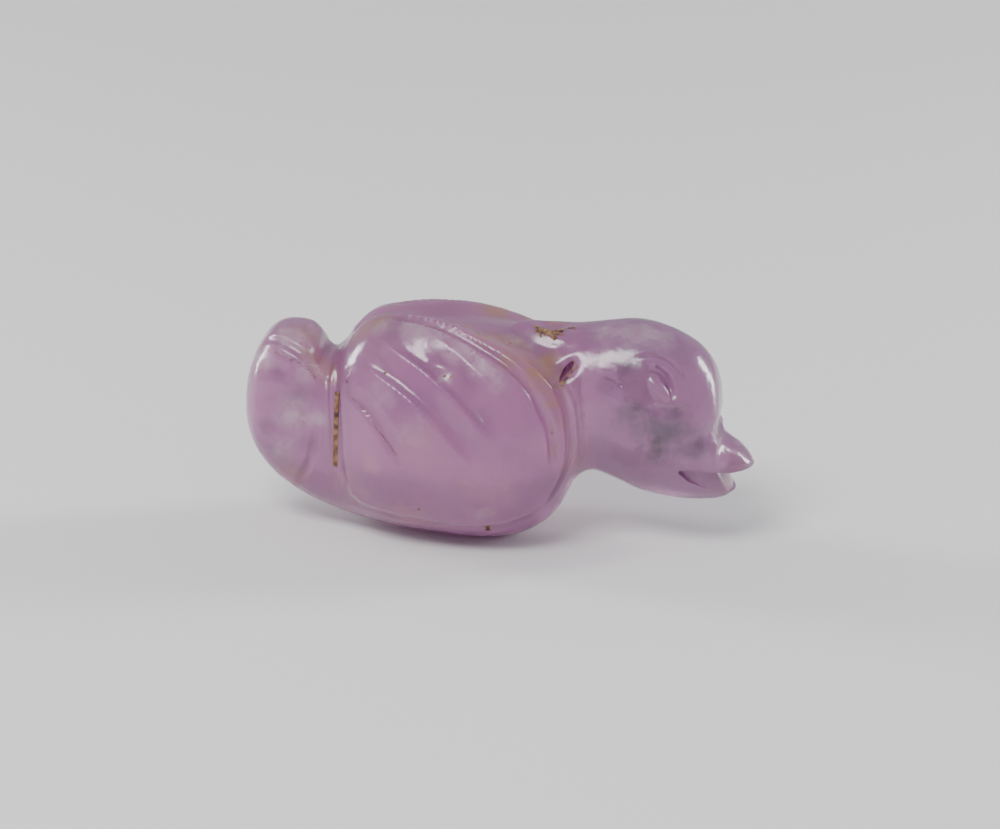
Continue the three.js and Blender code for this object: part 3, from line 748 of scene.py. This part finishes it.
# %% The veil in the head
VEIN_BACK = [(5.32, -2.09, 10.08), (5.59, -2.29, 9.84), (5.91, -2.41, 9.65), (6.23, -2.45, 9.59), (6.4, -2.4, 9.68)]
VEIN_FRONT = [
    (5.99, -2.59, 9.26), (6.57, -2.65, 9.11), (6.96, -2.75, 8.75), (7.16, -2.87, 8.19),
    (7.6, -2.91, 7.91), (7.85, -2.93, 7.69)]
VEIN_LOW = [(7.99, -2.93, 7.55), (8.12, -2.93, 7.06), (8.19, -2.93, 6.54), (8.33, -2.93, 6.19)]
VEIN_TOP = [(6.35, -2.3, 9.75), (6.9, -2.3, 10.0), (7.7, -2.1, 10.35)]
VEIL = [
    (6.62, 9.96), (7.68, 10.37), (8.11, 9.81), (8.16, 8.91), (8.45, 8.08), (8.09, 7.69),
    (7.6, 8.03), (7.14, 8.74), (6.79, 9.3)]
FLAKY = [
    (8.26, 6.25), (8.82, 6.36), (8.95, 5.62), (8.77, 4.89), (8.58, 4.26), (8.14, 3.86),
    (7.62, 3.57), (7.36, 3.69), (7.13, 4.01), (7.7, 4.25), (8.2, 4.7), (8.4, 5.4)]
PUFFS = [
    [(6.3, 5.3), (6.7, 5.7), (7.1, 5.5), (6.9, 5.0), (6.5, 4.9)],
    [(7.2, 5.2), (7.9, 5.9), (8.4, 5.4), (8.3, 4.6), (7.6, 4.4), (7.0, 4.7)],
]
chance = np.random.default_rng(7)
veins = gathered([
    flakes(along_line(VEIN_BACK, 0.035, 0.02, chance), 0.055, 0.07, chance),
    flakes(along_line(VEIN_FRONT, 0.03, 0.03, chance), 0.07, 0.07, chance),
    flakes(along_line(VEIN_LOW, 0.04, 0.03, chance), 0.045, 0.07, chance),
    flakes(along_line(VEIN_TOP, 0.04, 0.015, chance), 0.035, 0.07, chance),
    flakes(skin_from_side(FLAKY, 420, chance), 0.075, 0.1, chance),
    flakes(skin_from_side(VEIL, 60, chance), 0.05, 0.08, chance),
])
head_veins = lumps("head_veins", *veins[:2], veins[2], 0.5, veins[3], chance)
clouds = gathered([
    flakes(skin_from_side(VEIL, 330, chance), 0.13, 0.22, chance),
    *(flakes(skin_from_side(puff, 130, chance), 0.12, 0.2, chance) for puff in PUFFS),
])
head_cloud = lumps("head_cloud", *clouds[:2], clouds[2], 0.35, clouds[3], chance)

# %% Pale flecks in the tail, on the wing and in the belly, with white flecks as painted glints
# White flecks on the flat top of the tail, where it glints: painted glints.
TAIL_TOP_GLINTS = [
    (-10.65, 9.35), (-10.36, 9.9), (-9.61, 10.05), (-8.72, 9.95), (-8.1, 9.1), (-8.02, 8.71),
    (-8.82, 9.0), (-9.56, 9.1)]
TAIL_SPECKS = [(-10.1, 5.9), (-9.8, 6.9), (-9.0, 7.0), (-8.5, 6.5), (-8.8, 5.8), (-9.5, 5.5)]
BODY_SPECKS = [
    (-1.95, -4.98, 4.92), (-1.09, -5, 4.74), (-0.82, -4.97, 4.11), (-0.23, -4.78, 3.28),
    (0.24, -4.44, 2.5), (0.58, -4.11, 2.01)]
FEATHER_SPECKS = [(-6.1, 8.3), (-5.2, 8.6), (-4.6, 7.8), (-3.9, 7.0), (-4.2, 6.7), (-5.3, 7.3)]
# White flecks on the wing and the tail: painted glints.
WING_GLINTS = [
    (-2.16, -4.24, 8.87), (-0.99, -4.25, 8.79), (0.9, -4.47, 7.57), (2.41, -4.38, 5.34),
    (-7.74, -2.68, 6.59), (-9.14, -1.83, 9.75), (-5.25, -4.07, 9.0), (1.2, -4.7, 6.1)]
flecks = gathered([
    flakes(skin_from_side(TAIL_TOP_GLINTS, 260, chance), 0.06, 0.12, chance),
    flakes(skin_from_side(TAIL_SPECKS, 170, chance), 0.05, 0.1, chance),
    flakes(skin_from_side(FEATHER_SPECKS, 60, chance), 0.045, 0.1, chance),
    flakes(along_line(BODY_SPECKS, 0.07, 0.07, chance), 0.045, 0.1, chance),
    flakes(nearest_skin(np.array(WING_GLINTS)), 0.075, 0.05, chance),
])
pale_flecks_and_glints = lumps("pale_flecks_and_glints", *flecks[:2], flecks[2], 0.5, flecks[3], chance)

# %% [markdown]
# ## Soil that has stayed in the hollows
# Soil packs into a narrow cut until it is nearly level with the stone. The fill of the saw
# cut is a grid laid in the plane of the cut, between the floor that the disc left and a
# rough line just under the skin, and made solid by a Solidify modifier. In the pit on the
# nape, in the mouths of the bore and along the fine cracks it is crumbs, half bedded in.

# %% Fill of the saw cuts
SOIL_LEVEL = 0.07
SOIL_ROUGH = 0.05
SOIL_THICK = 0.2


def saw_cut_soil(side):
    bpy.ops.mesh.primitive_grid_add(x_subdivisions=90, y_subdivisions=5, size=1, location=(0, 0, 0))
    soil = bpy.context.object
    soil.name = soil.data.name = "saw_cut_soil_" + ("left" if side > 0 else "right")
    flat = vertex_places(soil)
    reach = np.linspace(SAW_CUT["z"] - SAW_CUT["radius"], SAW_CUT["z"] + SAW_CUT["radius"], 600)
    centre_y = SAW_CUT["floor"] + SAW_CUT["radius"]
    floor_y = centre_y - np.sqrt(SAW_CUT["radius"] ** 2 - (reach - SAW_CUT["z"]) ** 2)
    skin_y = half_width_at(np.full_like(reach, SAW_CUT["x"]), reach)
    open_part = reach[skin_y - SOIL_LEVEL > floor_y + 0.02]
    z = open_part[0] + (open_part[-1] - open_part[0]) * (flat[:, 0] + 0.5)
    inner = np.interp(z, reach, floor_y)
    outer = np.interp(z, reach, skin_y) - SOIL_LEVEL
    lie = np.stack([np.zeros_like(z), outer, z], axis=-1)
    outer = np.maximum(outer + SOIL_ROUGH * noise_at(lie, 0.25, 3), inner + 0.01)
    y = inner + (outer - inner) * (flat[:, 1] + 0.5)
    x = np.full_like(z, SAW_CUT["x"] - REST_X)
    set_vertex_places(soil, np.stack([x, side * y, z], axis=-1) * MM)
    thicken = soil.modifiers.new("thicken", "SOLIDIFY")
    thicken.thickness = SOIL_THICK * MM
    thicken.offset = 0
    bpy.ops.object.modifier_apply(modifier=thicken.name)
    bpy.ops.object.mode_set(mode="EDIT")
    bpy.ops.mesh.select_all(action="SELECT")
    bpy.ops.mesh.normals_make_consistent(inside=False)
    bpy.ops.object.mode_set(mode="OBJECT")
    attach(soil, "root")
    print(soil.name, "fills z", open_part[0].round(2), "to", open_part[-1].round(2))
    return soil


cut_fills = [saw_cut_soil(side) for side in (-1, 1)]

# %% Crumbs in the pit, the bore and the cracks
NAPE_CRUST = [(2.58, -0.33, 10.91), (2.98, -0.66, 10.85), (3.58, -0.44, 10.88), (3.39, -0.93, 10.78), (2.65, -0.95, 10.82)]
NAPE_TRAIL = [(3.4, -0.4, 10.88), (4.0, -0.3, 10.9), (4.5, -0.5, 10.9)]
BORE_MOUTH = [(3.75, -3.1, 8.8), (3.95, -2.9, 9.1), (4.3, -2.5, 9.55), (4.5, -2.4, 9.9)]
BORE_MOUTH_LEFT = [(x, -y, z) for x, y, z in BORE_MOUTH]
TAIL_CRACK = [
    (-10.76, -1.75, 9.36), (-9.55, -2.3, 9.18), (-8.43, -2.34, 8.53), (-7.94, -2.23, 8.06), (-7.16, -2.39, 8.24)]
FLANK_CRACK = [
    (-6.52, -3.06, 7.95), (-5.66, -3.8, 7.27), (-5.25, -4.07, 6.9), (-4.91, -4.26, 6.47),
    (-4.37, -4.51, 5.95), (-3.83, -4.7, 5.28)]
VALLEY_DIRT = [(-0.6, -1.5, 11.0), (0.2, -1.85, 10.9), (1.0, -1.9, 10.8), (1.5, -1.62, 10.78)]
HEAD_MARK = [(5.91, -2.95, 7.05), (5.98, -2.95, 6.79), (6.23, -2.95, 6.46), (6.35, -2.95, 6.47)]
BELLY_MARK = [(0.5, -3.8, 1.6), (0.53, -3.66, 1.42), (0.56, -3.4, 1.15)]
DARK_DOTS = [
    (-4.66, -3.6, 9.24), (-4.39, -3.72, 9.19), (-1.5, -4.86, 6.9), (-1.23, -4.96, 6.1), (-2.75, -4.36, 2.58),
    (0.14, -4.91, 4.15), (-5.44, -3.72, 3.19), (-1.95, -4.13, 2.01), (-0.7, -4.97, 4.17), (-6.6, -3.0, 8.6),
    (-6.62, -3.0, 8.4), (-1.7, -3.95, 9.45), (-1.4, -3.95, 9.4), (3.6, -3.7, 6.6), (3.8, -3.6, 5.9)]
crumbs = gathered([
    flakes(along_line(NAPE_CRUST, 0.03, 0.16, chance), 0.1, 0.0, chance),
    flakes(along_line(NAPE_TRAIL, 0.08, 0.12, chance), 0.06, 0.0, chance),
    flakes(along_line(BORE_MOUTH, 0.03, 0.1, chance), 0.06, 0.02, chance),
    flakes(along_line(BORE_MOUTH_LEFT, 0.03, 0.1, chance), 0.06, 0.02, chance),
    flakes(along_line(TAIL_CRACK, 0.09, 0.03, chance), 0.035, 0.01, chance),
    flakes(along_line(FLANK_CRACK, 0.06, 0.02, chance), 0.035, 0.01, chance),
    flakes(along_line(VALLEY_DIRT, 0.07, 0.06, chance), 0.04, 0.01, chance),
    flakes(along_line(HEAD_MARK, 0.06, 0.03, chance), 0.035, 0.05, chance),
    flakes(along_line(BELLY_MARK, 0.03, 0.05, chance), 0.05, 0.0, chance),
    flakes(nearest_skin(np.array(DARK_DOTS)), 0.07, 0.02, chance),
])
caked_soil = lumps("caked_soil", *crumbs[:2], crumbs[2], 0.6, crumbs[3], chance)

# %% [markdown]
# ## Materials
# The stone, the healed cracks and the soil all vary in patches of some size, so the pattern
# is one node group that the three materials share. It gives only a number from 0 to 1. The
# stone itself is glass that also scatters: light goes through, but milky places send some
# back. Its colour holds painted light too: highlight in the milky white, shade in the grey,
# light glowing through in the warm pink. A thin absorbing volume inside makes its thick
# parts darker and more violet.

# %% A shared pattern
def cloud_pattern():
    """Noise on the piece's own coordinates, spread to run from 0 to 1."""
    group = bpy.data.node_groups.new("cloud_pattern", "ShaderNodeTree")
    for name, standard in (("Scale", 300), ("Detail", 3), ("Low", 0.35), ("High", 0.65)):
        group.interface.new_socket(name, in_out="INPUT", socket_type="NodeSocketFloat").default_value = standard
    group.interface.new_socket("Cloud", in_out="OUTPUT", socket_type="NodeSocketFloat")
    inner, wires = group.nodes, group.links
    entry, leave = inner.new("NodeGroupInput"), inner.new("NodeGroupOutput")
    place = inner.new("ShaderNodeTexCoord")
    texture, spread = inner.new("ShaderNodeTexNoise"), inner.new("ShaderNodeMapRange")
    wires.new(place.outputs["Object"], texture.inputs["Vector"])
    wires.new(entry.outputs["Scale"], texture.inputs["Scale"])
    wires.new(entry.outputs["Detail"], texture.inputs["Detail"])
    wires.new(texture.outputs["Fac"], spread.inputs["Value"])
    wires.new(entry.outputs["Low"], spread.inputs["From Min"])
    wires.new(entry.outputs["High"], spread.inputs["From Max"])
    wires.new(spread.outputs["Result"], leave.inputs["Cloud"])
    return group


pattern = cloud_pattern()


class Paintbox:
    """A material with short ways to add the nodes that all materials here use."""

    def __init__(self, name):
        self.material = bpy.data.materials.new(name)
        self.material.use_nodes = True
        self.nodes, self.links = self.material.node_tree.nodes, self.material.node_tree.links
        self.shader = self.nodes["Principled BSDF"]
        self.output = self.nodes["Material Output"]

    def attribute(self, name):
        node = self.nodes.new("ShaderNodeAttribute")
        node.attribute_name = name
        return node.outputs["Fac"]

    def cloud(self, scale, detail=3.0, low=0.35, high=0.65):
        node = self.nodes.new("ShaderNodeGroup")
        node.node_tree = pattern
        for name, value in (("Scale", scale), ("Detail", detail), ("Low", low), ("High", high)):
            node.inputs[name].default_value = value
        return node.outputs["Cloud"]

    def math(self, operation, first, second):
        node = self.nodes.new("ShaderNodeMath")
        node.operation = operation
        for socket, value in zip(node.inputs, (first, second)):
            if isinstance(value, (int, float)):
                socket.default_value = value
            else:
                self.links.new(value, socket)
        return node.outputs[0]

    def mixed(self, under, over, share):
        """A colour mixed over another by a share."""
        mix = self.nodes.new("ShaderNodeMix")
        mix.data_type = "RGBA"
        self.links.new(share, mix.inputs["Factor"])
        for socket, colour in ((mix.inputs["A"], under), (mix.inputs["B"], over)):
            if isinstance(colour, tuple):
                socket.default_value = (*colour, 1)
            else:
                self.links.new(colour, socket)
        return mix.outputs["Result"]

    def mottled(self, name, most, scale, least=0.4):
        """A painted mask, broken up by clouds, that reaches at most this share."""
        cloudy = self.math("MULTIPLY_ADD", self.cloud(scale), 1 - least)
        cloudy.node.inputs[2].default_value = least
        return self.math("MULTIPLY", self.math("MULTIPLY", self.attribute(name), cloudy), most)

    def grain(self, height, size):
        bump = self.nodes.new("ShaderNodeBump")
        bump.inputs["Distance"].default_value = size
        self.links.new(height, bump.inputs["Height"])
        self.links.new(bump.outputs["Normal"], self.shader.inputs["Normal"])


# %% Amethyst
AMETHYST = (0.58, 0.27, 0.46)
AMETHYST_DEEP = (0.40, 0.17, 0.37)
# Deeper violet for the head, partly painted dark.
HEAD_VIOLET_AND_SHADE = (0.36, 0.20, 0.35)
WARM_PINK = (0.85, 0.46, 0.44)
STAIN_BROWN = (0.55, 0.33, 0.14)
# Grey for the patches that are painted shade in the head.
SMOKY_GREY_AND_SHADE = (0.085, 0.085, 0.10)
# The milky white is partly a painted highlight.
MILKY_WHITE_AND_HIGHLIGHT = (0.92, 0.80, 0.82)
SOIL_BROWN = (0.20, 0.11, 0.05)

stone_paint = Paintbox("amethyst")
colour = stone_paint.mixed(AMETHYST, AMETHYST_DEEP, stone_paint.math("MULTIPLY", stone_paint.cloud(230), 0.6))
# Warm pink, partly painted light glowing through the stone.
colour = stone_paint.mixed(colour, WARM_PINK, stone_paint.mottled("warm_tint_and_glow", 0.7, 500))
# The head is a deeper, darker violet: partly the clearer stone, partly painted dark that the clear head shows of
# its surroundings.
colour = stone_paint.mixed(colour, HEAD_VIOLET_AND_SHADE, stone_paint.mottled("head", 0.7, 300))
colour = stone_paint.mixed(colour, STAIN_BROWN, stone_paint.mottled("stain", 0.9, 900))
# Grey patches, painted shade in the head.
colour = stone_paint.mixed(colour, SMOKY_GREY_AND_SHADE, stone_paint.mottled("smoke_and_shade", 0.9, 600))
# Milky white, partly a painted satin highlight.
colour = stone_paint.mixed(colour, MILKY_WHITE_AND_HIGHLIGHT, stone_paint.mottled("milk_and_highlight", 0.75, 1300))
colour = stone_paint.mixed(colour, SOIL_BROWN, stone_paint.mottled("caked", 1.0, 2500, 0.2))
shader = stone_paint.shader
stone_paint.links.new(colour, shader.inputs["Base Color"])
worn = stone_paint.math("MULTIPLY_ADD", stone_paint.attribute("milk_and_highlight"), 0.18)
worn.node.inputs[2].default_value = 0.2
stone_paint.links.new(worn, shader.inputs["Roughness"])
stone_paint.grain(stone_paint.cloud(4200, 4.0, 0.2, 0.8), 0.00001)
shader.inputs["IOR"].default_value = 1.54
shader.inputs["Transmission Weight"].default_value = 0.6
shader.inputs["Subsurface Weight"].default_value = 0.5
shader.inputs["Subsurface Radius"].default_value = (1.0, 0.5, 0.8)
shader.inputs["Subsurface Scale"].default_value = 0.0012
shader.inputs["Coat Weight"].default_value = 0.2
shader.inputs["Coat Roughness"].default_value = 0.1

absorption = stone_paint.nodes.new("ShaderNodeVolumeAbsorption")
absorption.inputs["Color"].default_value = (0.78, 0.52, 0.76, 1)
absorption.inputs["Density"].default_value = 150
stone_paint.links.new(absorption.outputs["Volume"], stone_paint.output.inputs["Volume"])
duck.data.materials.append(stone_paint.material)

# %% Healed cracks and soil
VEIN_WHITE, VEIN_PINK = (0.95, 0.86, 0.92), (0.80, 0.52, 0.68)
CLOUD_PALE, CLOUD_PINK = (0.78, 0.52, 0.68), (0.50, 0.28, 0.42)
SOIL_DARK, SOIL_PALE = (0.07, 0.035, 0.018), (0.36, 0.20, 0.09)


def two_coloured(name, first, second, scale, roughness):
    box = Paintbox(name)
    box.links.new(box.mixed(first, second, box.cloud(scale)), box.shader.inputs["Base Color"])
    box.shader.inputs["Roughness"].default_value = roughness
    box.grain(box.cloud(6000), 0.00002)
    return box.material


head_veins.data.materials.append(two_coloured("healed_crack_and_glint_white", VEIN_WHITE, VEIN_PINK, 2500, 0.35))
# The same white also paints the glints on the tail's top and the wing.
pale_flecks_and_glints.data.materials.append(head_veins.data.materials[0])
head_cloud.data.materials.append(two_coloured("veil", CLOUD_PALE, CLOUD_PINK, 1500, 0.5))
packed_soil = two_coloured("packed_soil", SOIL_DARK, SOIL_PALE, 3000, 0.9)
for piece in (caked_soil, *cut_fills):
    piece.data.materials.append(packed_soil)

# %% [markdown]
# ## The studio
# A pale floor and soft lamps. A low wide one on each side draws the bright rims along the
# tail and the forehead, and a broad one from above gives the satin light on wing and head.

# %% Floor, lamps and camera
bpy.ops.mesh.primitive_plane_add(size=3, location=(0, 0, 0))
floor = bpy.context.object
floor.name = "floor"
paper = bpy.data.materials.new("paper")
paper.use_nodes = True
paper.node_tree.nodes["Principled BSDF"].inputs["Base Color"].default_value = (0.75, 0.74, 0.73, 1)
paper.node_tree.nodes["Principled BSDF"].inputs["Roughness"].default_value = 0.8
floor.data.materials.append(paper)

world = bpy.data.worlds.new("studio")
world.use_nodes = True
world.node_tree.nodes["Background"].inputs["Color"].default_value = (0.9, 0.92, 1, 1)
world.node_tree.nodes["Background"].inputs["Strength"].default_value = 0.5
bpy.context.scene.world = world


def lamp(name, place, aim, size, power, colour=(1, 1, 1)):
    data = bpy.data.lights.new(name, "AREA")
    data.shape = "RECTANGLE"
    data.size, data.size_y = size
    data.energy = power
    data.color = colour
    obj = bpy.data.objects.new(name, data)
    bpy.context.scene.collection.objects.link(obj)
    obj.location = place
    obj.rotation_euler = (Vector(aim) - Vector(place)).to_track_quat("-Z", "Y").to_euler()
    return obj


lamp("key", (-0.06, -0.14, 0.20), (0, 0, 0.005), (0.12, 0.08), 0.5)
lamp("left_rim", (-0.20, 0.05, 0.05), (0, 0, 0.005), (0.04, 0.12), 0.4)
lamp("right_rim", (0.18, 0.08, 0.06), (0, 0, 0.005), (0.04, 0.12), 0.4)

ELEVATION, AZIMUTH, ROLL = (math.radians(a) for a in (20.96, 6.32, 1.12))
FOCAL_PIXELS = 5780
MM_PER_PIXEL = 0.05
LOOK_AT = (0.75, 5.575)
back = np.array([math.sin(AZIMUTH) * math.cos(ELEVATION), -math.cos(AZIMUTH) * math.cos(ELEVATION), math.sin(ELEVATION)])
level = np.array([math.cos(AZIMUTH), math.sin(AZIMUTH), 0])
upright = np.cross(back, level)
right = level * math.cos(ROLL) + upright * math.sin(ROLL)
up = -level * math.sin(ROLL) + upright * math.cos(ROLL)
eye = LOOK_AT[0] * right + LOOK_AT[1] * up + FOCAL_PIXELS * MM_PER_PIXEL * back
eye[0] -= REST_X
camera_data = bpy.data.cameras.new("camera")
camera_data.sensor_width = 36
camera_data.sensor_fit = "HORIZONTAL"
camera_data.lens = 36 * FOCAL_PIXELS / 1000
camera_data.clip_start = 0.01
camera = bpy.data.objects.new("camera", camera_data)
bpy.context.scene.collection.objects.link(camera)
turned = Matrix((right, up, back)).transposed().to_4x4()
camera.matrix_world = Matrix.Translation(Vector(eye) * MM) @ turned
bpy.context.scene.camera = camera
